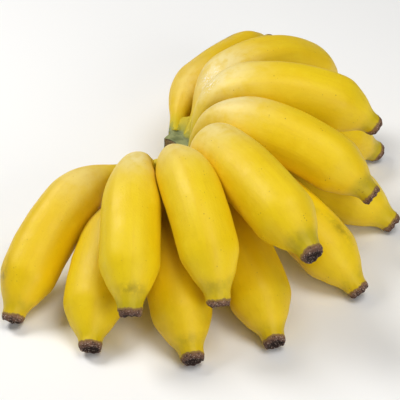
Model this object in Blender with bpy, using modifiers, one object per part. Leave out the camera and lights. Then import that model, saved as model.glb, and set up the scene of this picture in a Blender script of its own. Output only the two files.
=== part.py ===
"""A whole hand of small bananas, cut from its stalk and standing on the tips of its lower fingers.

Fifteen fingers grow in two rows from the round side of one crown: eight in the upper row, and seven
between and under them. Each finger leaves the crown on a thin pedicel, swells at the shoulder and
bends down to its dried blossom end. The lower row and the first upper finger hang until their tips
touch the table, so the hand rests like an open claw with its outer sides up.

Metres, +Z up. The origin is on the table, in the middle of the box around the hand. The front is -Y.
"""

import math
from collections import namedtuple

import bmesh
import bpy
import numpy as np
from mathutils import Vector

# Roots: where the pedicels start, on an arc inside the round side of the crown.
PEDICEL_RADIUS = 0.0042
ROOT_STEP = 26.4  # turn round the crown from one root of a row to the next
ROOT_SPACING = 0.0017  # between neighbouring pedicels of a row, at the root
ROW_SPACING = 0.0006  # between the upper and the lower row
FIRST_ROOT = -122.0  # where the first upper root lies, seen from the crown's middle
ROOT_RADIUS = (PEDICEL_RADIUS + ROOT_SPACING / 2.0) / math.sin(math.radians(ROOT_STEP / 2.0))
ROW_OFFSET = PEDICEL_RADIUS + ROW_SPACING / 2.0  # each row's height above or below the middle

# Crown: the cushion of stalk that holds the fingers together.
CROWN_HEIGHT = 0.0382  # of the plane between the two rows, above the table
ROOT_DEPTH = 0.0044  # how far in from the crown's round side the roots lie
CROWN_WALL = 0.0011  # below the lower pedicels
CROWN_SINK = 0.60  # share of an upper pedicel's radius that the crown covers above its middle
CROWN_ROUNDING = 0.0060
CUT_HEADING = 150.0  # the way that the knife-cut face looks
CUT_DISTANCE = 0.0032  # from the middle of the crown to that face
STALK_RADIUS = 0.0115  # of the hollow where the crown clasped the plant's stalk
CROWN_RADIUS = ROOT_RADIUS + ROOT_DEPTH
CROWN_TOP = ROW_OFFSET + CROWN_SINK * PEDICEL_RADIUS  # from the plane between the rows
CROWN_BOTTOM = -(ROW_OFFSET + PEDICEL_RADIUS + CROWN_WALL)
CROWN_THICKNESS = CROWN_TOP - CROWN_BOTTOM

# Profile of a finger, from root to tip. Ends of a stretch are shares of the finger's length.
NECK_RADIUS = 0.0069
SHOULDER_START = 0.07
TAPER = (0.77, 0.955)
CAP_START = 0.968
CAP_END_SHARE = 0.70  # of the neck's radius, left flat at the very end
BELLY = 0.03  # extra girth in the middle
TURN_END = 0.35  # by here the finger has turned from its root's heading to its own

SOCKET_GAP = 0.0004  # between a pedicel and the crown
SOCKET_REACH = 0.20  # share of the finger that the crown is cut clear of
PRESS_GAP = 0.0008  # between fingers that press on each other

STEEPEST_LIFT = 60.0  # limit of the search for the lift of a finger that rests
HALVINGS = 30  # of the interval, in that search and in the one for pressed points
LINE_STEPS = 64
RINGS = 21
SIDES = 12
DRIED_BANDS = 1  # between the last rings, in the dried end's material
CROWN_SIDES = 40

# One row for each finger, left to right as seen from the front. Angles in degrees, sizes in metres.
# root: heading of the pedicel. heading: of the finger's body. swing: further turn towards the tip.
# lift: climb at the root, or RESTS where the finger hangs until it touches the table.
# bend: turn downwards from root to tip. hook: the share of it that the shoulder takes.
# shoulder: the share of its length by which it has its full girth.
RESTS = None
Finger = namedtuple("Finger", "root heading swing lift bend hook length girth shoulder")
UPPER = (
    Finger(-158, -125, 27, RESTS, 52, 0.28, 0.127, 0.0305, 0.38),
    Finger(-119, -93, 10, 59, 102, 0.40, 0.135, 0.0315, 0.51),
    Finger(-90, -74, -2, 65, 120, 0.24, 0.139, 0.0310, 0.46),
    Finger(-39, -64, 11, 56, 80, 0.35, 0.1405, 0.0330, 0.28),
    Finger(12, -20, -13, 89, 127, 0.58, 0.134, 0.0320, 0.41),
    Finger(72, 2, -17, 74, 113, 0.34, 0.1335, 0.0330, 0.39),
    Finger(69, 41, -31, 37, 96, -0.12, 0.144, 0.0325, 0.33),
    Finger(89, 60, -8, 9, 17, 0.49, 0.141, 0.0325, 0.39),
)
LOWER = (
    Finger(-111, -110, 35, RESTS, 30, 0.23, 0.123, 0.0320, 0.42),
    Finger(-85, -85, 18, RESTS, 46, 0.34, 0.131, 0.0320, 0.36),
    Finger(-45, -67, -10, RESTS, 44, 0.29, 0.132, 0.0330, 0.36),
    Finger(-15, -41, -9, RESTS, 59, 0.34, 0.1315, 0.0325, 0.36),
    Finger(23, -13, -12, RESTS, 47, 0.32, 0.129, 0.0325, 0.37),
    Finger(46, 19, -4, RESTS, 57, 0.38, 0.138, 0.0330, 0.36),
    Finger(66, 50, -1, RESTS, 34, 0.30, 0.131, 0.0325, 0.36),
)

YELLOW = (0.78, 0.55, 0.04, 1.0)
DRIED = (0.09, 0.05, 0.03, 1.0)
STALK_GREEN = (0.25, 0.28, 0.10, 1.0)


def ease(start, end, t):
    """0 before start, 1 after end, and a smooth rise between."""
    share = np.clip((t - start) / (end - start), 0.0, 1.0)
    return share * share * (3.0 - 2.0 * share)


def directions(finger, lift, t):
    """Unit vectors along the finger at the shares t of its length."""
    bent = (1.0 - finger.hook) * t + finger.hook * ease(0.0, TURN_END, t)
    climb = np.radians(lift - finger.bend * bent)
    turned = finger.root + (finger.heading - finger.root) * ease(0.0, TURN_END, t)
    heading = np.radians(turned + finger.swing * np.maximum(t - TURN_END, 0.0))
    flat = np.cos(climb)
    return np.stack([flat * np.cos(heading), flat * np.sin(heading), np.sin(climb)], axis=1)


def centre_line(finger, root_point, lift):
    """Points along the middle of the finger, from root to tip."""
    middles = (np.arange(LINE_STEPS) + 0.5) / LINE_STEPS
    steps = directions(finger, lift, middles) * finger.length / LINE_STEPS
    return root_point + np.vstack([np.zeros(3), np.cumsum(steps, axis=0)])


def radii(finger, t):
    """Half the finger's thickness at the shares t of its length."""
    half = finger.girth / 2.0
    body = PEDICEL_RADIUS + (half - PEDICEL_RADIUS) * ease(SHOULDER_START, finger.shoulder, t)
    body = body * (1.0 + BELLY * np.sin(math.pi * t))
    radius = body + (NECK_RADIUS - body) * ease(*TAPER, t)
    into_cap = np.clip((t - CAP_START) / (1.0 - CAP_START), 0.0, 1.0)
    drop = 1.0 - np.sqrt(1.0 - into_cap**2)
    return radius * (1.0 - (1.0 - CAP_END_SHARE) * drop)


def side_vectors(tangents):
    """Vectors square to the line that turn with it and don't twist round it."""
    side = np.cross(tangents[0], (0.0, 0.0, 1.0))
    sides = []
    for tangent in tangents:
        side = side - tangent * side.dot(tangent)
        side = side / np.linalg.norm(side)
        sides.append(side)
    return np.array(sides)


class Skin:
    """A finger as rings of points round its middle line."""

    def __init__(self, name, finger, root_point, lift):
        self.name = name
        share = np.linspace(0.0, 1.0, LINE_STEPS + 1)
        self.line = centre_line(finger, root_point, lift)
        self.radius = radii(finger, share)
        self.tangents = directions(finger, lift, share)
        self.sides = side_vectors(self.tangents)
        self.scale = np.ones((RINGS, SIDES))

    def distance(self, points):
        """How far points lie outside the round, unpressed skin. Negative inside."""
        apart = np.linalg.norm(points[:, None] - self.line[None], axis=2)
        return (apart - self.radius[None]).min(axis=1)

    def rings(self):
        """The middles of the rings, and the offsets of their points."""
        evenly = np.linspace(0.0, 1.0, RINGS)
        closer_at_ends = 0.5 - 0.5 * np.cos(math.pi * evenly)
        index = np.round(LINE_STEPS * (evenly + closer_at_ends) / 2.0).astype(int)
        ups = np.cross(self.tangents[index], self.sides[index])
        angle = 2.0 * math.pi * np.arange(SIDES) / SIDES
        turns = (
            np.cos(angle)[None, :, None] * self.sides[index][:, None]
            + np.sin(angle)[None, :, None] * ups[:, None]
        )
        offsets = turns * self.radius[index][:, None, None]
        return self.line[index], offsets * self.scale[:, :, None]

    def points(self):
        middles, offsets = self.rings()
        return middles[:, None] + offsets

    def press(self, others):
        """Pulls in each point that is nearer to another finger's skin than to this one's."""
        middles, offsets = self.rings()
        middles = np.repeat(middles, SIDES, axis=0)
        offsets = offsets.reshape(-1, 3)

        def clear(scale):
            points = middles + offsets * scale[:, None]
            nearest = np.min([other.distance(points) for other in others], axis=0)
            return self.distance(points) <= nearest - PRESS_GAP

        inner = np.zeros(len(middles))
        outer = np.ones(len(middles))
        free = clear(outer)
        for _ in range(HALVINGS):
            half = (inner + outer) / 2.0
            kept = clear(half)
            inner = np.where(kept, half, inner)
            outer = np.where(kept, outer, half)
        return np.where(free, 1.0, inner).reshape(RINGS, SIDES)


def lift_to_rest(finger, root_point):
    """The lift at which the finger's lowest point lies on the table."""
    low, high = -STEEPEST_LIFT, STEEPEST_LIFT
    for _ in range(HALVINGS):
        lift = (low + high) / 2.0
        if Skin("", finger, root_point, lift).points()[:, :, 2].min() > 0.0:
            high = lift
        else:
            low = lift
    return (low + high) / 2.0


def grow_row(row_name, fingers, first_root, rise):
    """The skins of one row, with their roots on an arc round the crown's middle."""
    skins = []
    for number, finger in enumerate(fingers):
        angle = math.radians(first_root + ROOT_STEP * number)
        across = ROOT_RADIUS * math.cos(angle)
        along = ROOT_RADIUS * math.sin(angle)
        root_point = np.array([across, along, CROWN_HEIGHT + rise])
        lift = lift_to_rest(finger, root_point) if finger.lift is RESTS else finger.lift
        skins.append(Skin(f"banana_{row_name}_{number + 1}", finger, root_point, lift))
    return skins


def material(name, colour, roughness):
    made = bpy.data.materials.new(name)
    made.use_nodes = True
    shader = made.node_tree.nodes["Principled BSDF"]
    shader.inputs["Base Color"].default_value = colour
    shader.inputs["Roughness"].default_value = roughness
    shader.inputs["Metallic"].default_value = 0.0
    made.diffuse_color = colour
    return made


def loft(name, rings, materials, end_bands=0):
    """A closed mesh through the rings. The last end_bands take the second material."""
    mesh = bpy.data.meshes.new(name)
    shape = bmesh.new()
    loops = [[shape.verts.new(point) for point in ring] for ring in rings]
    bands = len(loops) - 1
    for band, (near, far) in enumerate(zip(loops, loops[1:])):
        for side in range(len(near)):
            after = (side + 1) % len(near)
            face = shape.faces.new((near[side], near[after], far[after], far[side]))
            face.material_index = 1 if band >= bands - end_bands else 0
            face.smooth = True
    shape.faces.new(loops[0])
    end = shape.faces.new(loops[-1])
    end.material_index = 1 if end_bands else 0
    bmesh.ops.recalc_face_normals(shape, faces=shape.faces)
    shape.to_mesh(mesh)
    shape.free()
    for each in materials:
        mesh.materials.append(each)
    return bpy.data.objects.new(name, mesh)


def make_finger(skin, shift):
    peel = material(f"peel_{skin.name}", YELLOW, 0.45)
    dried = material(f"dried_end_{skin.name}", DRIED, 0.85)
    return loft(skin.name, skin.points() + shift, (peel, dried), end_bands=DRIED_BANDS)


def make_socket(skin, shift):
    """The room that a pedicel needs in the crown, as a cutter."""
    last = int(SOCKET_REACH * LINE_STEPS)
    back = skin.line[0] - skin.tangents[0] * SOCKET_GAP
    middles = np.vstack([back, skin.line[: last + 1]])
    ups = np.cross(skin.tangents, skin.sides)
    angle = 2.0 * math.pi * np.arange(SIDES) / SIDES
    rings = []
    for place, middle in enumerate(middles):
        at = max(place - 1, 0)
        radius = (skin.radius[at] + SOCKET_GAP) / math.cos(math.pi / SIDES)
        turns = np.outer(np.cos(angle), skin.sides[at]) + np.outer(np.sin(angle), ups[at])
        rings.append(middle + turns * radius + shift)
    return loft(f"socket_{skin.name}", rings, ())


def make_crown(middle):
    """The round cushion, before the knife and the sockets are cut from it."""
    mesh = bpy.data.meshes.new("crown")
    shape = bmesh.new()
    bmesh.ops.create_cone(
        shape,
        cap_ends=True,
        segments=CROWN_SIDES,
        radius1=CROWN_RADIUS,
        radius2=CROWN_RADIUS,
        depth=CROWN_THICKNESS,
    )
    shape.to_mesh(mesh)
    shape.free()
    mesh.materials.append(material("crown_stalk", STALK_GREEN, 0.75))
    mesh.shade_smooth()
    crown = bpy.data.objects.new("crown", mesh)
    crown.location = middle
    rounding = crown.modifiers.new("rounded_rims", "BEVEL")
    rounding.width = CROWN_ROUNDING
    rounding.segments = 3
    rounding.limit_method = "ANGLE"
    return crown


def make_knife(middle):
    """A block whose near face is the plane of the cut."""
    mesh = bpy.data.meshes.new("knife")
    shape = bmesh.new()
    bmesh.ops.create_cube(shape, size=4.0 * CROWN_RADIUS)
    shape.to_mesh(mesh)
    shape.free()
    knife = bpy.data.objects.new("knife", mesh)
    turn = math.radians(CUT_HEADING)
    away = CUT_DISTANCE + 2.0 * CROWN_RADIUS
    knife.rotation_euler = (0.0, 0.0, turn)
    knife.location = middle + Vector((math.cos(turn), math.sin(turn), 0.0)) * away
    return knife


def make_stalk(middle):
    """The round stalk of the plant, which the inside of the crown was part of."""
    mesh = bpy.data.meshes.new("stalk")
    shape = bmesh.new()
    bmesh.ops.create_cone(
        shape,
        cap_ends=True,
        segments=CROWN_SIDES,
        radius1=STALK_RADIUS,
        radius2=STALK_RADIUS,
        depth=2.0 * CROWN_THICKNESS,
    )
    shape.to_mesh(mesh)
    shape.free()
    stalk = bpy.data.objects.new("stalk", mesh)
    stalk.location = middle
    return stalk


def cut(target, cutter):
    modifier = target.modifiers.new(f"cut_{cutter.name}", "BOOLEAN")
    modifier.operation = "DIFFERENCE"
    modifier.solver = "EXACT"
    modifier.object = cutter


def new_collection(name, hidden):
    made = bpy.data.collections.new(name)
    bpy.context.scene.collection.children.link(made)
    made.hide_render = hidden
    return made


def main():
    for old in list(bpy.data.objects):
        bpy.data.objects.remove(old)
    bunch = new_collection("bunch_of_bananas", False)
    cutters = new_collection("cutters", True)

    skins = grow_row("upper", UPPER, FIRST_ROOT, ROW_OFFSET)
    skins += grow_row("lower", LOWER, FIRST_ROOT + ROOT_STEP / 2.0, -ROW_OFFSET)
    pressed = [skin.press([other for other in skins if other is not skin]) for skin in skins]
    for skin, scale in zip(skins, pressed):
        skin.scale = scale

    everything = np.concatenate([skin.points().reshape(-1, 3) for skin in skins])
    centre = (everything.min(axis=0) + everything.max(axis=0)) / 2.0
    shift = np.array([-centre[0], -centre[1], -everything[:, 2].min()])

    crown_height = CROWN_HEIGHT + (CROWN_TOP + CROWN_BOTTOM) / 2.0
    crown_middle = Vector(shift + np.array([0.0, 0.0, crown_height]))
    crown = make_crown(crown_middle)
    bunch.objects.link(crown)
    tools = [make_knife(crown_middle), make_stalk(crown_middle)]
    tools += [make_socket(skin, shift) for skin in skins]
    for tool in tools:
        cutters.objects.link(tool)
        tool.hide_render = True
        tool.display_type = "WIRE"
        cut(crown, tool)
    for skin in skins:
        bunch.objects.link(make_finger(skin, shift))


main()
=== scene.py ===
"""The looks of a hand of small ripe bananas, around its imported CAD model.

Each CAD finger is read as rings of points. A finer skin goes through them, with the soft edges of a
real peel, and a dried flower end closes it. The crown is one blended mass around the CAD crown and the
roots of the pedicels. Metres, in the frame of the CAD.
"""

import math

import bmesh
import bpy
import numpy as np
from mathutils import Matrix, Vector, noise


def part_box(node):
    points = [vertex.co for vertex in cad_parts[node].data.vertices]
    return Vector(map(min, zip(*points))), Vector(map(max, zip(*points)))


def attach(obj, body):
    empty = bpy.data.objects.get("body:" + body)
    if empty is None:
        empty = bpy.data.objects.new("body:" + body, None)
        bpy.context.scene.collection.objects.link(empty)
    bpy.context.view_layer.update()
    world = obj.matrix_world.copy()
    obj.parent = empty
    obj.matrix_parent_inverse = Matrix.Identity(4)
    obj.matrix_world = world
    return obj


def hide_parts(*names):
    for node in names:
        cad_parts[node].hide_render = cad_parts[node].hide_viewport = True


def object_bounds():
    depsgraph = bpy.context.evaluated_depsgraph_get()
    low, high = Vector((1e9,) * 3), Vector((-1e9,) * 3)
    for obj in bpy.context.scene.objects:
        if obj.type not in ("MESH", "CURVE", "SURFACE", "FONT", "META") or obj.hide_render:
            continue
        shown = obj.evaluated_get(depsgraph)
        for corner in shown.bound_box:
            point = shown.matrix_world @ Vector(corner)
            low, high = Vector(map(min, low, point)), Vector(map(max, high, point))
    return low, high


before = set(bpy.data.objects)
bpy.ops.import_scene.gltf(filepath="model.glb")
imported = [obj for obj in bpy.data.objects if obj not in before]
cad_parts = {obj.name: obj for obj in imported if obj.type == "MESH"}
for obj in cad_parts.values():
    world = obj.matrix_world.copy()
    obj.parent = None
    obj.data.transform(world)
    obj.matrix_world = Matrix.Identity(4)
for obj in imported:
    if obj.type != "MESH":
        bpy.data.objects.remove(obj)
CAD_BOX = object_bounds()

TURN = 2.0 * math.pi

# Reading the CAD skins
MERGE = 2e-5  # points closer than this are one
CAD_SIDES = 12  # of each ring
COPLANAR = 5e-4  # largest angle between the triangles of a flat end, in radians
WRAP = 4  # points repeated on each side of a ring's seam, so that a spline round it closes

# Fine skins
ALONG = 124  # rings of a peel
AROUND = 84  # points of a ring
EVEN_SHARE = 0.6  # of the rings' spacing is even, and the rest is closer at both ends
SWELL = 0.00030  # pressed fingers then touch, where the CAD leaves a gap
FLOOR_GAP = 0.0002  # lowest that a skin reaches

# Soft edges along a peel
EDGES = 5
EDGE_SHARE = 0.28  # how marked they are on the body, with 1 for a sharp polygon
EDGE_CHANGE = 0.35  # how much that changes from place to place
EDGE_SCALE = 0.09  # and over what distance
EDGE_SEED = 50  # added to the finger's seed
STEM_EDGES = 0.55  # how marked they are on the pedicel
EDGE_BLUR = math.radians(12.0)
EDGE_WANDER = 0.10  # how far they turn about the finger, in radians
EDGE_BENDS = 5.0  # and how often, in radians of a wave over its length
PROFILE_STEPS = 720

# Shallow lumps of a peel: height, distance between them, what is added to the finger's seed
LUMPS = ((0.00022, 0.060, 0), (0.00006, 0.016, 100))
STEM_CALM = 0.6  # how much of the lumps the pedicel is spared

# Fine pleats by the dried end
PLEATS = 13.0  # round the finger
PLEAT_HEIGHT = 0.00007
PLEAT_WANDER = 2.0  # how unevenly they lie, in radians of their wave
PLEAT_SCALE = 0.03
PLEAT_SEED = 7

# Stretches of a finger, as shares of its length from the root
PEDICEL_END = (0.05, 0.16)  # the pedicel turns into the body
EDGES_FADE = (0.80, 0.95)
SWELL_STARTS = (0.10, 0.22)
SWELL_ENDS = (0.86, 0.95)
PLEATS_START = (0.905, 0.955)
RIM_NARROWS = (0.915, 0.962)
TORN_STARTS = (0.93, 0.968)
RIM_SHARE = 0.93  # of the CAD neck's thickness, at the peel's torn end
NECK = 0.885  # a slight collar before the neck, its length, and how much thicker it is
NECK_LENGTH = 0.035
NECK_GROWTH = 0.07

# The torn end of the peel: height, waves round it, and how the seed turns them
TORN_WAVES = ((0.00045, 2.0, 1.0), (0.00025, 5.0, 2.0), (0.00014, 13.0, 3.0))
RIM_LIP = 0.00015
# The rim rolls in: share of its width, and how far on from the torn end
RIM_ROLL = ((0.975, 0.00035), (0.92, 0.00020), (0.84, -0.0010))

# Camera: its target from the middle of the CAD box, and where it stands
TARGET = (-0.0046, -0.0373, -0.0098)
CAMERA_ELEVATION = math.radians(34.57)
CAMERA_DISTANCE = 0.9
LENS = 142.6
SENSOR = 36.0

# Lights: way from the hand, distance, width, watts, colour
LIGHTS = {
    "key": ((-0.60, 0.24, 0.76), 0.95, 0.42, 5.5, (1.0, 0.99, 0.97)),
    "top": ((0.26, -0.24, 0.93), 1.4, 0.8, 7.8, (1.0, 0.99, 0.98)),
    "front": ((0.50, -0.80, 0.33), 1.6, 1.0, 9.0, (1.0, 0.99, 0.98)),
}
WORLD_COLOUR = (0.97, 0.98, 1.0, 1.0)
WORLD_STRENGTH = 0.17
FLOOR_RADIUS = 6.0


# ---------------------------------------------------------------- shapes


def spline(knots, values, at):
    """A natural cubic through the values at the knots, read at other places."""
    count = len(knots)
    flat = values.reshape(count, -1)
    gaps = np.diff(knots)
    slopes = np.diff(flat, axis=0) / gaps[:, None]
    system = np.eye(count)
    right = np.zeros_like(flat)
    for k in range(1, count - 1):
        system[k, k - 1 : k + 2] = gaps[k - 1], 2.0 * (gaps[k - 1] + gaps[k]), gaps[k]
    right[1:-1] = 6.0 * (slopes[1:] - slopes[:-1])
    bends = np.linalg.solve(system, right)
    left = np.clip(np.searchsorted(knots, at) - 1, 0, count - 2)
    w = (at - knots[left])[:, None]
    gap = gaps[left][:, None]
    a, b = bends[left], bends[left + 1]
    start = slopes[left] - gap * (2.0 * a + b) / 6.0
    read = flat[left] + start * w + a * w**2 / 2.0 + (b - a) * w**3 / (6.0 * gap)
    return read.reshape((len(at),) + values.shape[1:])


def unit(vectors):
    return vectors / np.linalg.norm(vectors, axis=-1, keepdims=True)


def ease(start, end, t):
    """0 up to the start, 1 from the end on, and smooth between them."""
    share = np.clip((t - start) / (end - start), 0.0, 1.0)
    return share * share * (3.0 - 2.0 * share)


def bell(values, middle, width):
    return np.exp(-(((values - middle) / width) ** 2))


def flat_group(face):
    """The faces that lie in one plane with this one, joined edge to edge."""
    group, queue = {face}, [face]
    while queue:
        for edge in queue.pop().edges:
            for other in edge.link_faces:
                if other not in group and edge.calc_face_angle(1.0) < COPLANAR:
                    group.add(other)
                    queue.append(other)
    return group


def cad_rings(node, crown_middle):
    """The rings of a CAD finger, root first, with their points in order round it."""
    shape = bmesh.new()
    shape.from_mesh(node.data)
    bmesh.ops.remove_doubles(shape, verts=shape.verts, dist=MERGE)
    ends = []
    seen = set()
    for face in shape.faces:
        if face in seen:
            continue
        group = flat_group(face)
        seen |= group
        corners = {v for each in group for v in each.verts}
        if len(group) == CAD_SIDES - 2 and len(corners) == CAD_SIDES:
            ends.append(corners)
    middle = np.array(crown_middle)
    places = {v: np.array(v.co) for v in shape.verts}
    ends.sort(key=lambda end: np.linalg.norm(np.mean([places[v] for v in end], axis=0) - middle))
    # From the root's end, each further layer of points is the next ring.
    layer, done, layers = ends[0], set(ends[0]), []
    while layer:
        layers.append(np.array(sorted(places[v].tolist() for v in layer)))
        after = {e.other_vert(v) for v in layer for e in v.link_edges}
        layer = after - done
        done |= layer
    shape.free()
    middles = np.array([ring.mean(axis=0) for ring in layers])
    tangents = unit(np.gradient(middles, axis=0))
    rings = []
    for ring, centre, tangent in zip(layers, middles, tangents):
        offsets = ring - centre
        first = unit(offsets[0] - tangent * offsets[0].dot(tangent))
        second = np.cross(tangent, first)
        turn = np.arctan2(offsets @ second, offsets @ first)
        offsets = offsets[np.argsort(turn)]
        if rings:
            before = rings[-1] - rings[-1].mean(axis=0)
            shifts = [np.roll(offsets, k, axis=0) for k in range(CAD_SIDES)]
            offsets = min(shifts, key=lambda moved: ((moved - before) ** 2).sum())
        rings.append(offsets + centre)
    return np.array(rings)


def edge_profile(angle):
    """Radius of a soft-edged polygon, with mean 1 and an edge at angle 0."""
    fine = np.linspace(0.0, TURN, PROFILE_STEPS, endpoint=False)
    corner = TURN / EDGES
    sharp = math.cos(corner / 2.0) / np.cos(np.mod(fine, corner) - corner / 2.0)
    away = np.minimum(fine, TURN - fine)
    weight = np.exp(-((away / EDGE_BLUR) ** 2) / 2.0)
    soft = np.real(np.fft.ifft(np.fft.fft(sharp) * np.fft.fft(weight / weight.sum())))
    soft /= soft.mean()
    return np.interp(np.mod(angle, TURN), fine, soft, period=TURN)


def waves(points, scale, seed, count=9):
    """Smooth, shallow lumps, between about -1 and 1, as a sum of sines."""
    chance = np.random.default_rng(seed)
    total = np.zeros(points.shape[:-1])
    for _ in range(count):
        way = unit(chance.normal(size=3)) * chance.uniform(0.6, 1.5) * TURN / scale
        total += np.sin(points @ way + chance.uniform(0.0, TURN))
    return total / math.sqrt(count)


def new_piece(name, data):
    piece = bpy.data.objects.new(name, data)
    bpy.context.scene.collection.objects.link(piece)
    return piece


def mesh_of(shape, name):
    """The bmesh as a mesh of that name. The bmesh is used up."""
    mesh = bpy.data.meshes.new(name)
    shape.to_mesh(mesh)
    shape.free()
    return mesh


def lattice(name, rows, material):
    """A closed tube of quads through rows of points, one row for each ring."""
    count, sides = rows.shape[:2]
    k = np.arange(sides)
    after = (k + 1) % sides
    base = (np.arange(count - 1) * sides)[:, None]
    faces = np.stack([base + k, base + after, base + sides + after, base + sides + k], axis=-1)
    faces = faces.reshape(-1, 4).tolist()
    faces.append(list(range(sides))[::-1])
    faces.append(list(range((count - 1) * sides, count * sides)))
    mesh = bpy.data.meshes.new(name)
    mesh.from_pydata(rows.reshape(-1, 3).tolist(), [], faces)
    mesh.validate()
    mesh.shade_smooth()
    mesh.materials.append(material)
    return new_piece(name, mesh)


def store(mesh, name, values):
    """Keep a number or a vector for each point of the mesh, for its material to read."""
    values = np.asarray(values, np.float32)
    if values.ndim == 2:
        made = mesh.attributes.new(name, "FLOAT_VECTOR", "POINT")
        made.data.foreach_set("vector", values.ravel())
    else:
        made = mesh.attributes.new(name, "FLOAT", "POINT")
        made.data.foreach_set("value", values)


# One row for each finger. edge: turn of its soft edges in degrees, with 0 for an edge along the back.
# ripe: 0 paler lemon, 1 deeper gold. wax and glints: pale scuffs and painted glints on the shoulder.
# fleck: how freckled. green: how green its neck is.
# bloom and highlight: how pale the wax bloom and a painted highlight make the shoulder's top.
# keel: how marked its edges.
LOOKS = {
    "upper_1": dict(edge=16, ripe=0.65, wax=0.0, fleck=0.35, green=0.45, bloom=0.45, keel=1.5),
    "upper_2": dict(edge=36, ripe=0.35, wax=0.0, fleck=0.30, green=0.85, bloom=0.80, keel=1.0),
    "upper_3": dict(edge=8, ripe=0.40, wax=0.0, fleck=0.45, green=0.40, bloom=0.65, keel=0.9),
    "upper_4": dict(edge=-10, ripe=0.45, wax=0.0, fleck=0.55, green=0.75, bloom=0.65, keel=0.8),
    "upper_5": dict(edge=14, ripe=0.50, wax=0.2, fleck=0.75, green=0.70, bloom=0.80, keel=1.0),
    "upper_6": dict(edge=-22, ripe=0.45, wax=0.8, fleck=0.65, green=0.60, bloom=0.80, keel=1.5),
    "upper_7": dict(edge=38, ripe=0.60, wax=1.0, fleck=0.35, green=0.60, bloom=0.90, keel=2.2),
    "upper_8": dict(edge=4, ripe=0.75, wax=0.0, fleck=0.25, green=0.50, bloom=0.35, keel=1.6),
    "lower_1": dict(edge=-14, ripe=0.40, wax=0.0, fleck=0.30, green=0.40, bloom=0.45, keel=1.0),
    "lower_2": dict(edge=24, ripe=0.65, wax=0.0, fleck=0.45, green=0.30, bloom=0.15, keel=1.0),
    "lower_3": dict(edge=10, ripe=0.70, wax=0.0, fleck=0.40, green=0.35, bloom=0.15, keel=1.0),
    "lower_4": dict(edge=-30, ripe=0.50, wax=0.0, fleck=0.60, green=0.30, bloom=0.15, keel=1.0),
    "lower_5": dict(edge=20, ripe=0.40, wax=0.0, fleck=0.50, green=0.45, bloom=0.15, keel=1.0),
    "lower_6": dict(edge=-6, ripe=0.55, wax=0.0, fleck=0.45, green=0.80, bloom=0.15, keel=1.0),
    "lower_7": dict(edge=32, ripe=0.60, wax=0.0, fleck=0.40, green=0.50, bloom=0.15, keel=1.0),
}

# Wax scuffs with painted glints on the shoulder, and wax bloom with a painted highlight on its top:
# share of the length, length, turn from the back, width
WAX_GLINT_PLACE, WAX_GLINT_LENGTH, WAX_GLINT_TURN, WAX_GLINT_WIDTH = 0.25, 0.040, 0.0, 0.34
BLOOM_HIGHLIGHT_PLACE, BLOOM_HIGHLIGHT_LENGTH, BLOOM_HIGHLIGHT_TURN, BLOOM_HIGHLIGHT_WIDTH = 0.29, 0.13, 0.0, 0.95
SKIN_SHIFT = np.array([0.37, 0.21, 0.0])  # from finger to finger, so that no two are marked alike

# Bruises: finger, share of its length, turn from the back in degrees, length, width, strength.
BRUISES = (
    ("upper_1", 0.82, 38, 0.007, 0.0045, 0.60),
    ("upper_2", 0.900, -15, 0.0028, 0.0085, 0.55),
    ("upper_3", 0.915, 30, 0.0028, 0.0070, 0.30),
    ("upper_4", 0.915, 45, 0.0028, 0.0060, 0.30),
    ("upper_5", 0.915, 20, 0.0028, 0.0060, 0.25),
    ("upper_8", 0.60, -44, 0.022, 0.0013, 0.75),
    ("upper_8", 0.74, -40, 0.007, 0.0030, 0.95),
    ("lower_2", 0.915, 10, 0.0028, 0.0070, 0.30),
    ("lower_4", 0.74, -12, 0.0080, 0.0032, 0.60),
    ("lower_4", 0.60, 0, 0.0050, 0.0025, 0.45),
)


class Finger:
    """A CAD finger's line, with a fine skin on it."""

    def __init__(self, name, node, crown_middle):
        self.name = name
        self.rings = cad_rings(node, crown_middle)
        self.middles = self.rings.mean(axis=1)
        steps = np.linalg.norm(np.diff(self.middles, axis=0), axis=1)
        self.knots = np.concatenate([[0.0], np.cumsum(steps)])
        self.length = self.knots[-1]
        self.body = self.knots[-2]  # where the peel ends and the dried end begins

    def skin(self, at):
        """Rings of points at distances along the finger, on a smooth skin through the CAD's."""
        sides = self.rings[:-1].transpose(1, 0, 2)
        around = np.arange(-WRAP, CAD_SIDES + WRAP + 1)
        wrapped = sides[around % CAD_SIDES]
        turn = np.arange(AROUND) * CAD_SIDES / AROUND
        smooth = spline(around.astype(float), wrapped, turn).transpose(1, 0, 2)
        return spline(self.knots[:-1], smooth, at)

    def angles(self, rows):
        """Each point's turn about the finger from its back, which is the side that looks up."""
        middles = rows.mean(axis=1)
        tangents = unit(np.gradient(middles, axis=0))
        half = len(rows) // 2
        up = np.array([0.0, 0.0, 1.0]) - tangents[half] * tangents[half][2]
        across = np.cross(tangents[half], up)
        offsets = rows[half] - middles[half]
        turn = np.arctan2(offsets @ across, offsets @ up)
        return np.repeat(turn[None], len(rows), axis=0)


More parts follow.
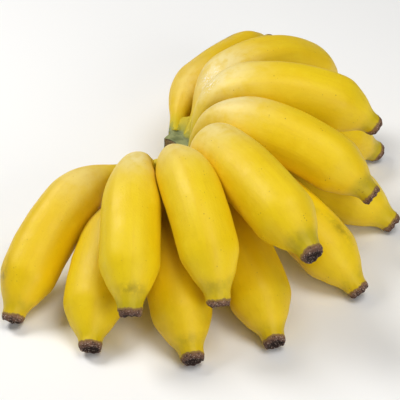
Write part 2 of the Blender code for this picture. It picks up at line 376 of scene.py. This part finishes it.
def peel_rows(finger, looks, seed):
    """A peel's rings of points, and each point's share of the length, turn, radius and edge."""
    even = np.linspace(0.0, 1.0, ALONG)
    closer = 0.5 - 0.5 * np.cos(math.pi * even)
    at = finger.body * (EVEN_SHARE * even + (1.0 - EVEN_SHARE) * closer)
    rows = finger.skin(at)
    middles = rows.mean(axis=1, keepdims=True)
    turn = finger.angles(rows)
    share = np.repeat((at / finger.length)[:, None], AROUND, axis=1)
    offsets = rows - middles
    radius = np.linalg.norm(offsets, axis=2)

    wander = EDGE_WANDER * np.sin(share * EDGE_BENDS + seed)
    edges = edge_profile(turn - math.radians(looks["edge"]) + wander) - 1.0
    stem = 1.0 - ease(*PEDICEL_END, share)
    body = ease(*PEDICEL_END, share) * (1.0 - ease(*EDGES_FADE, share))
    change = 1.0 + EDGE_CHANGE * waves(rows, EDGE_SCALE, seed + EDGE_SEED)
    weight = EDGE_SHARE * looks["keel"] * change * body + STEM_EDGES * stem
    swell = SWELL * (ease(*SWELL_STARTS, share) * (1.0 - ease(*SWELL_ENDS, share)))
    lumps = sum(height * waves(rows, scale, seed + more) for height, scale, more in LUMPS)
    pleats = np.sin(turn * PLEATS + PLEAT_WANDER * waves(rows, PLEAT_SCALE, seed + PLEAT_SEED))
    pleats = PLEAT_HEIGHT * pleats * ease(*PLEATS_START, share)
    slimmer = 1.0 - (1.0 - RIM_SHARE) * ease(*RIM_NARROWS, share)
    slimmer = slimmer + NECK_GROWTH * bell(share, NECK, NECK_LENGTH)
    grown = radius * slimmer * (1.0 + weight * edges) + swell
    grown = grown + lumps * (1.0 - stem * STEM_CALM) + pleats

    rows = middles + offsets * (grown / radius)[:, :, None]
    tangents = unit(np.gradient(rows.mean(axis=1), axis=0))
    torn = sum(height * np.sin(count * turn[0] + by * seed) for height, count, by in TORN_WAVES)
    last = ease(*TORN_STARTS, share) ** 2
    rows = rows + tangents[:, None] * (last * torn[None])[:, :, None]
    # The rim rolls in under the dried end.
    inner = rows[-1].mean(axis=0)
    rolled = [rows[-1] + tangents[-1] * RIM_LIP]
    for shrink, on in RIM_ROLL:
        rolled.append(inner + (rows[-1] - inner) * shrink + tangents[-1] * on)
    rows = np.concatenate([rows, np.array(rolled)])
    rows[:, :, 2] = np.maximum(rows[:, :, 2], FLOOR_GAP)

    def lengthened(values):
        """The values, with the last ring's for the rolled rim too."""
        return np.concatenate([values, np.repeat(values[-1:], len(rolled), axis=0)])

    return rows, lengthened(share), lengthened(turn), lengthened(grown), lengthened(edges)


def bruises(finger, share, turn, radius):
    """How bruised each point is."""
    bruise = np.zeros_like(share)
    for name, place, degrees, long, wide, strength in BRUISES:
        if name == finger.name:
            off = np.mod(turn - math.radians(degrees) + math.pi, TURN) - math.pi
            along = (share * finger.length - place * finger.length) / long
            spread = along**2 + (off * radius / wide) ** 2
            bruise = np.maximum(bruise, strength * np.exp(-spread))
    return bruise


def make_peel(finger, looks, seed, material):
    rows, share, turn, radius, edges = peel_rows(finger, looks, seed)
    piece = lattice(f"peel_{finger.name}", rows, material)
    # The peel laid out straight, for the marks on it.
    across = [radius * np.cos(turn), radius * np.sin(turn)]
    skin = np.stack(across + [share * finger.length], axis=-1).reshape(-1, 3)
    # The shoulder's top: wax scuffs with painted glints, and wax bloom with a painted highlight.
    scuffs_and_glints = bell(share, WAX_GLINT_PLACE, WAX_GLINT_LENGTH) * bell(turn, WAX_GLINT_TURN, WAX_GLINT_WIDTH)
    pale = bell(share, BLOOM_HIGHLIGHT_PLACE, BLOOM_HIGHLIGHT_LENGTH) * bell(turn, BLOOM_HIGHLIGHT_TURN, BLOOM_HIGHLIGHT_WIDTH)
    layers = {
        "share": share,
        "ripe": np.full(share.shape, looks["ripe"]),
        "fleck": np.full(share.shape, looks["fleck"]),
        "wax": looks["wax"] * scuffs_and_glints,
        "bloom": looks["bloom"] * pale,
        "green": np.full(share.shape, looks["green"]),
        "edge": edges,
        "bruise": bruises(finger, share, turn, radius),
    }
    store(piece.data, "skin", skin + seed * SKIN_SHIFT)
    for name, values in layers.items():
        store(piece.data, name, values.ravel())
    return piece


TIP_PROFILE = (
    # along from the peel's end, share of its radius, depth into the crater, roughness
    (-0.0016, 0.80, 0.0, 0.0),
    (-0.0006, 0.925, 0.0, 0.2),
    (0.0002, 0.965, 0.0, 0.4),
    (0.0010, 0.955, 0.1, 0.5),
    (0.0019, 0.91, 0.25, 0.6),
    (0.0027, 0.83, 0.45, 0.8),
    (0.0028, 0.73, 0.65, 0.9),
    (0.0020, 0.62, 1.0, 1.0),
    (0.0009, 0.50, 1.0, 1.1),
    (0.0004, 0.36, 1.0, 1.2),
    (0.0008, 0.21, 0.9, 1.1),
    (0.0014, 0.07, 0.8, 0.5),
)
TIP_RINGS = 46
TIP_LEAST = 0.02  # smallest share of the rim's radius
TIP_TWIST_RINGS = 41  # rings that the turn from the back is read from
TIP_LOBES = 0.28  # how uneven the rim's height is, in broad lobes and in narrow notches
TIP_NOTCHES = 0.12
TIP_HEART = 0.0004  # height of the point that the crust's lumps stand out from
# The crust: its height, and the fineness and share of its lumps, its bubbles and its grit
CRAG_HEIGHT = 0.00085
CRAG_LUMPS = (360.0, 0.6)
CRAG_BUBBLES = (800.0, 0.6)
CRAG_GRIT = (2000.0, 0.2)
CRAG_SINK = 0.15  # takes back what the bubbles add on average
CRAG_SHIFT = (1.7, 0.9)  # from finger to finger


def crust(point, seed):
    """How far the crust stands out at a point, in shares of its height."""
    place = Vector(point) + Vector((seed * CRAG_SHIFT[0], seed * CRAG_SHIFT[1], 0.0))
    shake = noise.noise(place * CRAG_LUMPS[0]) * CRAG_LUMPS[1]
    shake += abs(noise.noise(place * CRAG_BUBBLES[0])) * CRAG_BUBBLES[1] - CRAG_SINK
    shake += noise.noise(place * CRAG_GRIT[0]) * CRAG_GRIT[1]
    return shake


def make_tip(finger, seed, material):
    """The dried remains of the flower: a craggy cap with a crater and the scar in its middle."""
    last = finger.skin(np.array([finger.body]))[0]
    turn = finger.angles(finger.skin(np.linspace(0.0, finger.body, TIP_TWIST_RINGS)))[0]
    middle = last.mean(axis=0)
    axis = unit(finger.middles[-1] - finger.middles[-2])
    offsets = (last - middle) * RIM_SHARE
    offsets = offsets - (offsets @ axis)[:, None] * axis
    profile = np.array(TIP_PROFILE)
    run = np.linspace(0.0, len(profile) - 1.0, TIP_RINGS)
    along, wide, depth, rough = spline(np.arange(len(profile), dtype=float), profile, run).T
    # A torn rim: higher on one side, with notches, and not quite round.
    lobes = 0.5 * np.sin(turn + seed) + 0.35 * np.sin(2.0 * turn + 2.1 * seed)
    notches = 0.5 * np.sin(5.0 * turn + seed) + 0.5 * np.sin(9.0 * turn + 1.7 * seed)
    rise = 1.0 + TIP_LOBES * lobes + TIP_NOTCHES * notches
    rows = []
    for z, r in zip(along, wide):
        lift = z * rise if z > 0.0 else np.full(AROUND, z)
        rows.append(middle + offsets * max(r, TIP_LEAST) + axis * lift[:, None])
    rows = np.array(rows)
    outward = unit(rows - (middle + axis * TIP_HEART))
    crag = np.array([[crust(point, seed) for point in row] for row in rows])
    rows = rows + outward * (crag * CRAG_HEIGHT * rough[:, None])[:, :, None]
    rows[:, :, 2] = np.maximum(rows[:, :, 2], FLOOR_GAP)
    piece = lattice(f"tip_{finger.name}", rows, material)
    store(piece.data, "depth", np.repeat(depth, AROUND))
    store(piece.data, "crag", crag.ravel())
    return piece


# ---------------------------------------------------------------- materials


def wire(tree, node, sockets):
    """Link or set a node's sockets."""
    for key, value in sockets.items():
        if isinstance(value, bpy.types.NodeSocket):
            tree.links.new(value, node.inputs[key])
        else:
            node.inputs[key].default_value = value


def add(tree, kind, sockets=None, **settings):
    made = tree.nodes.new("ShaderNode" + kind)
    for name, value in settings.items():
        setattr(made, name, value)
    wire(tree, made, sockets or {})
    return made


def new_material(name):
    made = bpy.data.materials.new(name)
    made.use_nodes = True
    return made, made.node_tree, made.node_tree.nodes["Principled BSDF"]


def attribute(tree, name, output="Fac"):
    return add(tree, "Attribute", attribute_name=name).outputs[output]


def scaled(tree, vector, scale):
    return add(tree, "VectorMath", {0: vector, 1: scale}, operation="MULTIPLY").outputs[0]


def fuzz(tree, vector, scale, detail=4.0, roughness=0.55):
    sockets = {"Vector": vector, "Scale": scale, "Detail": detail, "Roughness": roughness}
    return add(tree, "TexNoise", sockets).outputs["Fac"]


def span(tree, value, low, high, to_low=0.0, to_high=1.0):
    """to_low where the value is low, to_high where it is high, and smooth between them."""
    sockets = {"Value": value, "From Min": low, "From Max": high, "To Min": to_low, "To Max": to_high}
    return add(tree, "MapRange", sockets, interpolation_type="SMOOTHSTEP").outputs[0]


def sums(tree, operation, a, b):
    return add(tree, "Math", {0: a, 1: b}, operation=operation).outputs[0]


def times(tree, a, b):
    return sums(tree, "MULTIPLY", a, b)


def plus(tree, a, b):
    return sums(tree, "ADD", a, b)


def ragged(tree, value, noise_value, depth):
    """The value, moved to and fro by a noise, so that what ends at it ends unevenly."""
    return plus(tree, value, times(tree, sums(tree, "SUBTRACT", noise_value, 0.5), depth))


def blend(tree, factor, a, b):
    made = add(tree, "Mix", {0: factor, 6: a, 7: b}, data_type="RGBA", blend_type="MIX")
    return made.outputs[2]


def bump(tree, height, strength, distance):
    sockets = {"Strength": strength, "Distance": distance, "Height": height}
    return add(tree, "Bump", sockets).outputs[0]


def rgb(red, green, blue):
    """Linear colour from the values 0 to 255 of a screen."""
    parts = [value / 255.0 for value in (red, green, blue)]
    linear = [p / 12.92 if p <= 0.04045 else ((p + 0.055) / 1.055) ** 2.4 for p in parts]
    return (*linear, 1.0)


# Peel
LEMON = rgb(238, 208, 14)
GOLD = rgb(230, 190, 0)
MOTTLE_PALE = rgb(243, 215, 40)
MOTTLE_DEEP = rgb(212, 176, 2)
STREAK = rgb(212, 166, 18)
GRAIN = rgb(206, 168, 20)
# Wax bloom, and a painted highlight on the shoulder's top
BLOOM_AND_HIGHLIGHT = rgb(243, 227, 168)
RUBBED = rgb(218, 170, 20)
NECK_GREEN = rgb(176, 158, 4)
OLIVE = rgb(120, 100, 10)
ROOT_GREEN = rgb(196, 182, 30)
# Wax scuffs, and painted glints on the shoulder
WAX_AND_GLINT = rgb(254, 250, 240)
FRECKLE = rgb(128, 84, 22)
BRUISE = rgb(112, 92, 14)
DRY_RIM = rgb(128, 94, 62)
# Dried ends
CRUST_RIM = rgb(140, 104, 76)
CRUST_SIDE = rgb(98, 68, 54)
CRUST_CRATER = rgb(52, 35, 30)
CRUST_DARK = rgb(46, 31, 27)
CRUST_HIGH = rgb(142, 108, 90)
CRUST_CHIP = rgb(206, 184, 166)
# Crown
STALK_PALE = rgb(150, 156, 104)
STALK_DEEP = rgb(92, 102, 58)
STALK_LINES = rgb(96, 102, 62)
STALK_OUTER = rgb(168, 162, 48)
PEDICEL = rgb(206, 184, 26)
PITH_PALE = rgb(164, 138, 92)
PITH_DARK = rgb(84, 58, 36)
CUT_EDGE = rgb(58, 40, 28)
# Floor
FLOOR_DULL = rgb(247, 247, 246)
FLOOR_BRIGHT = rgb(250, 250, 249)


def peel_material():
    made, tree, shader = new_material("banana_peel")
    skin = attribute(tree, "skin", "Vector")
    share = attribute(tree, "share")
    # Noises, from the broadest to the finest. The streaks run along the finger.
    cloud = fuzz(tree, skin, 38.0, 3.0)
    mottle = fuzz(tree, skin, 150.0, 4.0, 0.6)
    streak = fuzz(tree, scaled(tree, skin, (1.0, 1.0, 0.10)), 420.0, 3.0)
    grain = fuzz(tree, skin, 900.0, 5.0, 0.6)

    tone = plus(tree, times(tree, attribute(tree, "ripe"), 0.75), times(tree, cloud, 0.5))
    colour = blend(tree, span(tree, tone, 0.25, 0.95), LEMON, GOLD)
    colour = blend(tree, span(tree, mottle, 0.50, 0.75, 0.0, 0.28), colour, MOTTLE_PALE)
    colour = blend(tree, span(tree, mottle, 0.42, 0.25, 0.0, 0.22), colour, MOTTLE_DEEP)
    colour = blend(tree, span(tree, streak, 0.45, 0.8, 0.0, 0.20), colour, STREAK)
    colour = blend(tree, span(tree, grain, 0.5, 0.85, 0.0, 0.20), colour, GRAIN)
    # Wax bloom with a painted highlight: the shoulder's top turns pale cream.
    bloom = times(tree, attribute(tree, "bloom"), span(tree, mottle, 0.30, 0.60, 0.45, 1.0))
    colour = blend(tree, bloom, colour, BLOOM_AND_HIGHLIGHT)
    # The edges are rubbed a little more golden.
    ridge = span(tree, attribute(tree, "edge"), 0.02, 0.09, 0.0, 0.30)
    colour = blend(tree, ridge, colour, RUBBED)

    # Green at both necks, with a ragged edge, and olive mottling towards the dried end.
    place = ragged(tree, share, cloud, 0.10)
    neck = times(tree, span(tree, place, 0.880, 0.950), attribute(tree, "green"))
    colour = blend(tree, neck, colour, NECK_GREEN)
    olive = times(tree, span(tree, place, 0.87, 0.93), span(tree, mottle, 0.46, 0.72, 0.0, 0.20))
    colour = blend(tree, olive, colour, OLIVE)
    root = span(tree, place, 0.030, 0.150, 0.75, 0.0)
    colour = blend(tree, root, colour, ROOT_GREEN)

    # Wax scuffed pale on the shoulder, with painted glints, as pin-prick specks.
    specks = span(tree, fuzz(tree, skin, 900.0, 3.0), 0.50, 0.62)
    patch = span(tree, fuzz(tree, skin, 210.0, 3.0), 0.36, 0.60, 0.25, 1.0)
    wax = times(tree, attribute(tree, "wax"), times(tree, specks, patch))
    colour = blend(tree, times(tree, wax, 0.90), colour, WAX_AND_GLINT)

    # Freckles: small brown dots, thicker where a slow noise lets them.
    cells = add(tree, "TexVoronoi", {"Vector": skin, "Scale": 520.0}, feature="F1")
    dots = span(tree, cells.outputs["Distance"], 0.10, 0.24, 1.0, 0.0)
    dots = times(tree, dots, span(tree, fuzz(tree, skin, 170.0, 2.0), 0.58, 0.68))
    dots = times(tree, dots, attribute(tree, "fleck"))
    colour = blend(tree, dots, colour, FRECKLE)
    broken = span(tree, fuzz(tree, skin, 200.0, 5.0, 0.65), 0.30, 0.60)
    colour = blend(tree, times(tree, attribute(tree, "bruise"), broken), colour, BRUISE)
    # The last millimetre dries to a pinkish tan.
    rim = span(tree, ragged(tree, share, grain, 0.012), 0.9600, 0.9665, 0.0, 0.9)
    colour = blend(tree, rim, colour, DRY_RIM)

    rough = span(tree, mottle, 0.3, 0.7, 0.40, 0.54)
    rough = plus(tree, rough, times(tree, rim, 0.3))
    rough = plus(tree, rough, times(tree, grain, 0.08))
    height = plus(tree, times(tree, grain, 0.5), times(tree, streak, 0.45))
    height = plus(tree, height, times(tree, mottle, 0.5))
    height = sums(tree, "SUBTRACT", height, times(tree, dots, 0.4))
    sockets = {
        "Base Color": colour,
        "Roughness": rough,
        "IOR": 1.5,
        "Specular IOR Level": 0.60,
        "Specular Tint": (1.0, 0.90, 0.48, 1.0),
        "Coat Weight": 0.10,
        "Coat Roughness": 0.42,
        "Coat IOR": 1.45,
        "Normal": bump(tree, height, 0.40, 0.0007),
    }
    wire(tree, shader, sockets)
    return made


def tip_material():
    made, tree, shader = new_material("dried_tip")
    place = add(tree, "TexCoord").outputs["Object"]
    depth = attribute(tree, "depth")
    crag = attribute(tree, "crag")
    flakes = fuzz(tree, place, 620.0, 6.0, 0.65)
    fine = fuzz(tree, place, 2400.0, 4.0, 0.6)
    chips = fuzz(tree, place, 1500.0, 3.0, 0.6)
    colour = blend(tree, span(tree, depth, 0.02, 0.30), CRUST_RIM, CRUST_SIDE)
    colour = blend(tree, span(tree, depth, 0.35, 0.85), colour, CRUST_CRATER)
    colour = blend(tree, span(tree, flakes, 0.48, 0.64, 0.0, 0.80), colour, CRUST_DARK)
    colour = blend(tree, span(tree, crag, 0.30, 0.70, 0.0, 0.40), colour, CRUST_HIGH)
    colour = blend(tree, span(tree, chips, 0.58, 0.65, 0.0, 0.85), colour, CRUST_CHIP)
    sockets = {
        "Base Color": colour,
        "Roughness": 0.8,
        "Specular IOR Level": 0.35,
        "Normal": bump(tree, fine, 0.7, 0.0008),
    }
    wire(tree, shader, sockets)
    return made


def crown_material():
    made, tree, shader = new_material("crown_stalk")
    place = add(tree, "TexCoord").outputs["Object"]
    cut = attribute(tree, "cut")
    cloud = fuzz(tree, place, 120.0, 4.0)
    fine = fuzz(tree, scaled(tree, place, (1.0, 1.0, 0.3)), 900.0, 5.0, 0.6)
    fibres = fuzz(tree, place, 1500.0, 4.0, 0.7)
    colour = blend(tree, span(tree, cloud, 0.3, 0.7), STALK_PALE, STALK_DEEP)
    colour = blend(tree, span(tree, fine, 0.5, 0.75, 0.0, 0.6), colour, STALK_LINES)
    # Outwards the stalk turns to yellow-green, and then to the yellow of the pedicels.
    out = ragged(tree, attribute(tree, "stem"), cloud, 0.5)
    colour = blend(tree, span(tree, out, 0.10, 0.80), colour, STALK_OUTER)
    colour = blend(tree, span(tree, out, 0.60, 2.20), colour, PEDICEL)
    pith = blend(tree, span(tree, fibres, 0.4, 0.7), PITH_PALE, PITH_DARK)
    colour = blend(tree, span(tree, cut, 0.35, 0.65), colour, pith)
    dark = times(tree, span(tree, cut, 0.15, 0.45), span(tree, cut, 0.5, 0.85, 1.0, 0.0))
    colour = blend(tree, times(tree, dark, 0.8), colour, CUT_EDGE)
    height = plus(tree, fine, times(tree, cloud, 0.8))
    sockets = {
        "Base Color": colour,
        "Roughness": 0.66,
        "Normal": bump(tree, height, 0.45, 0.0008),
    }
    wire(tree, shader, sockets)
    return made


# ---------------------------------------------------------------- the crown

CROWN_VOXEL = 0.0006
SOFTEN_FACTOR = 0.5  # rounds the melted skin's edges
SOFTEN_TIMES = 8
COLLAR_END = 0.075  # share of a finger that its collar covers
COLLAR_RINGS = 9
COLLAR_STRIDE = 4  # of a ring's points, one in so many
COLLAR_WALL = 0.0004
COLLAR_FADE = 1.5  # power of the way along, by which the wall thins
WEB_REACHES = (0.003, 0.005, 0.007, 0.009, 0.011, 0.013)  # from the root, along the pedicels
WEB_SPAN = 0.0165  # pedicels wider apart have no web
WEB_RADIUS = 0.0028
WEB_SHARES = (0.35, 0.5, 0.65)  # of the way from one pedicel to the next
STALK_SIDES = 64
COLLAR_SINK = 0.0005  # how far a collar's far end lies inside the pedicel
STEM_FADE = 0.0035  # over which the stalk's green turns to the pedicels' colour
STEM_RISE = 0.002  # the same, above the top of the CAD crown
STEM_MOST = 3.0  # as many times those distances at most
CUT_RIM = 0.003  # depth over which the cut's look fades at its rim
CUT_TURN = math.radians(150.0)  # the way that the knife-cut face looks
CUT_WAY = Vector((math.cos(CUT_TURN), math.sin(CUT_TURN), 0.0))
CUT_FROM = 0.5  # where the surface is a cut
CUT_SINK = 0.0004  # how far a cut has dried back
# Fineness and height of the fibres on a cut, and of the lumps elsewhere
FIBRES = ((900.0, 0.0003), (300.0, 0.0005))
STALK_LUMPS = ((160.0, 0.0006), (520.0, 0.00022))


def root_circle(fingers):
    """The upright axis and the radius of the circle that the roots lie on."""
    roots = np.array([finger.rings[0].mean(axis=0)[:2] for finger in fingers])
    system = np.column_stack([2.0 * roots, np.ones(len(roots))])
    x, y, rest = np.linalg.lstsq(system, (roots**2).sum(axis=1), rcond=None)[0]
    return np.array([x, y]), math.sqrt(rest + x * x + y * y)


def collar(finger):
    """A closed tube round the root of a pedicel, that sinks into it at its far end."""
    at = np.linspace(0.0, finger.length * COLLAR_END, COLLAR_RINGS)
    rows = finger.skin(at)[:, ::COLLAR_STRIDE]
    middles = rows.mean(axis=1, keepdims=True)
    offsets = rows - middles
    radius = np.linalg.norm(offsets, axis=2, keepdims=True)
    fade = (at / at[-1])[:, None, None] ** COLLAR_FADE
    wall = COLLAR_WALL * (1.0 - fade) - COLLAR_SINK * fade
    return middles + offsets * (radius + wall) / radius


def webs(fingers):
    """Places between neighbouring pedicels, where they have grown together."""
    for near, far in zip(fingers, fingers[1:]):
        for reach in WEB_REACHES:
            ends = [finger.skin(np.array([reach]))[0].mean(axis=0) for finger in (near, far)]
            apart = np.linalg.norm(ends[1] - ends[0])
            if apart < WEB_SPAN:
                for share in WEB_SHARES:
                    yield ends[0] * (1.0 - share) + ends[1] * share


def baked(piece):
    """The piece's mesh with its modifiers applied."""
    bpy.context.view_layer.update()
    done = piece.evaluated_get(bpy.context.evaluated_depsgraph_get())
    return bpy.data.meshes.new_from_object(done)


def hollow_cushion(node, axis):
    """The convex body of the CAD crown, less the round hollow where the stalk of the plant was."""
    shape = bmesh.new()
    corners = [shape.verts.new(v.co) for v in node.data.vertices]
    bmesh.ops.convex_hull(shape, input=corners)
    loose = [v for v in shape.verts if not v.link_faces]
    bmesh.ops.delete(shape, geom=loose, context="VERTS")
    cushion = new_piece("cushion", mesh_of(shape, "cushion"))
    places = np.array([v.co for v in node.data.vertices])
    stalk_radius = np.linalg.norm(places[:, :2] - axis, axis=1).min()
    low, high = places[:, 2].min(), places[:, 2].max()
    shape = bmesh.new()
    bmesh.ops.create_cone(
        shape,
        cap_ends=True,
        segments=STALK_SIDES,
        radius1=stalk_radius,
        radius2=stalk_radius,
        depth=2.0 * (high - low),
    )
    bmesh.ops.translate(shape, verts=shape.verts, vec=(axis[0], axis[1], (low + high) / 2.0))
    stalk = new_piece("stalk", mesh_of(shape, "stalk"))
    hollow = cushion.modifiers.new("hollow", "BOOLEAN")
    hollow.operation = "DIFFERENCE"
    hollow.solver = "EXACT"
    hollow.object = stalk
    done = baked(cushion)
    bpy.data.objects.remove(cushion)
    bpy.data.objects.remove(stalk)
    return done


def make_crown(node, fingers, axis, material):
    """The cushion, the collars and the webs, melted into one skin."""
    shape = bmesh.new()
    shape.from_mesh(hollow_cushion(node, axis))
    for finger in fingers:
        rows = collar(finger)
        loops = [[shape.verts.new(p) for p in row] for row in rows]
        sides = len(loops[0])
        for near, far in zip(loops, loops[1:]):
            for k in range(sides):
                shape.faces.new((near[k], near[(k + 1) % sides], far[(k + 1) % sides], far[k]))
        shape.faces.new(loops[0][::-1])
        shape.faces.new(loops[-1])
    for row in ("upper", "lower"):
        for middle in webs([finger for finger in fingers if finger.name.startswith(row)]):
            place = Matrix.Translation(Vector(middle))
            bmesh.ops.create_icosphere(shape, subdivisions=2, radius=WEB_RADIUS, matrix=place)
    bmesh.ops.recalc_face_normals(shape, faces=shape.faces)
    piece = new_piece("crown_stalk", mesh_of(shape, "crown_stalk"))
    voxels = piece.modifiers.new("voxels", "REMESH")
    voxels.mode = "VOXEL"
    voxels.voxel_size = CROWN_VOXEL
    soften = piece.modifiers.new("soften", "SMOOTH")
    soften.factor = SOFTEN_FACTOR
    soften.iterations = SOFTEN_TIMES
    done = baked(piece)
    piece.modifiers.clear()
    piece.data = done
    done.name = "crown_stalk"
    done.materials.clear()
    done.materials.append(material)
    done.shade_smooth()
    return piece


def finish_crown(piece, axis, root_radius, top):
    """Lumps on the skin, fibrous cuts, and how far each point is on the way to the pedicels.

    The cuts are where the knife went, and in the hollow, where the stalk of the plant was.
    """
    mesh = piece.data
    places = np.array([v.co for v in mesh.vertices])
    normals = np.array([v.normal for v in mesh.vertices])
    facing = np.array(CUT_WAY)
    away = (places @ facing).max() - places @ facing
    cut = np.clip(normals @ facing, 0.0, 1.0) * np.clip(1.0 - away / CUT_RIM, 0.0, 1.0)
    spokes = places[:, :2] - axis
    out = np.linalg.norm(spokes, axis=1)
    inwards = -(normals[:, :2] * spokes).sum(axis=1) / out
    hollow = np.clip(1.0 - (out - out.min()) / CUT_RIM, 0.0, 1.0)
    cut = np.maximum(cut, np.clip(inwards, 0.0, 1.0) * hollow)
    moved = places.copy()
    for k, place in enumerate(places):
        at = Vector(place)
        if cut[k] > CUT_FROM:
            (fine, thin), (broad, thick) = FIBRES
            fibre = noise.noise(at * fine) * thin + abs(noise.noise(at * broad)) * thick
            moved[k] -= normals[k] * (fibre + CUT_SINK)
        else:
            (broad, high), (fine, low) = STALK_LUMPS
            lump = noise.noise(at * broad) * high + noise.noise(at * fine) * low
            moved[k] += normals[k] * lump
    mesh.vertices.foreach_set("co", moved.ravel())
    mesh.update()
    store(mesh, "cut", cut)
    above = (places[:, 2] - top) / STEM_RISE
    stem = np.maximum((out - root_radius) / STEM_FADE, above)
    store(mesh, "stem", np.clip(stem, 0.0, STEM_MOST))


# ---------------------------------------------------------------- build

crown_low, crown_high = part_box("crown")
crown_middle = (crown_low + crown_high) / 2.0
peel_look = peel_material()
tip_look = tip_material()

fingers = []
for seed, (name, looks) in enumerate(LOOKS.items(), start=1):
    node_name = f"banana_{name}"
    finger = Finger(name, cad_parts[node_name], crown_middle)
    fingers.append(finger)
    peel = make_peel(finger, looks, seed, peel_look)
    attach(peel, "root")
    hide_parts(node_name)
    tip = make_tip(finger, seed, tip_look)
    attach(tip, "root")
    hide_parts(node_name)

root_axis, root_radius = root_circle(fingers)
crown = make_crown(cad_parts["crown"], fingers, root_axis, crown_material())
finish_crown(crown, root_axis, root_radius, crown_high[2])
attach(crown, "root")
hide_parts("crown")

# ---------------------------------------------------------------- stage, lights, camera


def make_floor():
    made, tree, shader = new_material("studio_floor")
    place = add(tree, "TexCoord").outputs["Object"]
    colour = blend(tree, fuzz(tree, place, 6.0, 2.0), FLOOR_DULL, FLOOR_BRIGHT)
    wire(tree, shader, {"Base Color": colour, "Roughness": 0.9, "Specular IOR Level": 0.1})
    shape = bmesh.new()
    bmesh.ops.create_circle(shape, cap_ends=True, segments=96, radius=FLOOR_RADIUS)
    mesh = mesh_of(shape, "floor")
    mesh.materials.append(made)
    new_piece("floor", mesh)


def make_light(name, towards, distance, size, power, colour, target):
    light = bpy.data.lights.new(name, "AREA")
    light.shape = "DISK"
    light.size = size
    light.energy = power
    light.color = colour
    lamp = new_piece(name, light)
    way = Vector(towards).normalized()
    lamp.location = target + way * distance
    lamp.rotation_euler = way.to_track_quat("Z", "Y").to_euler()


def make_world():
    world = bpy.data.worlds.new("studio")
    world.use_nodes = True
    back = world.node_tree.nodes["Background"]
    back.inputs["Color"].default_value = WORLD_COLOUR
    back.inputs["Strength"].default_value = WORLD_STRENGTH
    bpy.context.scene.world = world


def make_camera(target):
    data = bpy.data.cameras.new("camera")
    data.lens = LENS
    data.sensor_width = SENSOR
    camera = new_piece("camera", data)
    back = Vector((0.0, -math.cos(CAMERA_ELEVATION), math.sin(CAMERA_ELEVATION)))
    camera.location = target + back * CAMERA_DISTANCE
    camera.rotation_euler = back.to_track_quat("Z", "Y").to_euler()
    bpy.context.scene.camera = camera


box_middle = (Vector(CAD_BOX[0]) + Vector(CAD_BOX[1])) / 2.0
make_floor()
for name, settings in LIGHTS.items():
    make_light(name, *settings, box_middle)
make_world()
make_camera(box_middle + Vector(TARGET))
bpy.context.scene.view_settings.view_transform = "Standard"
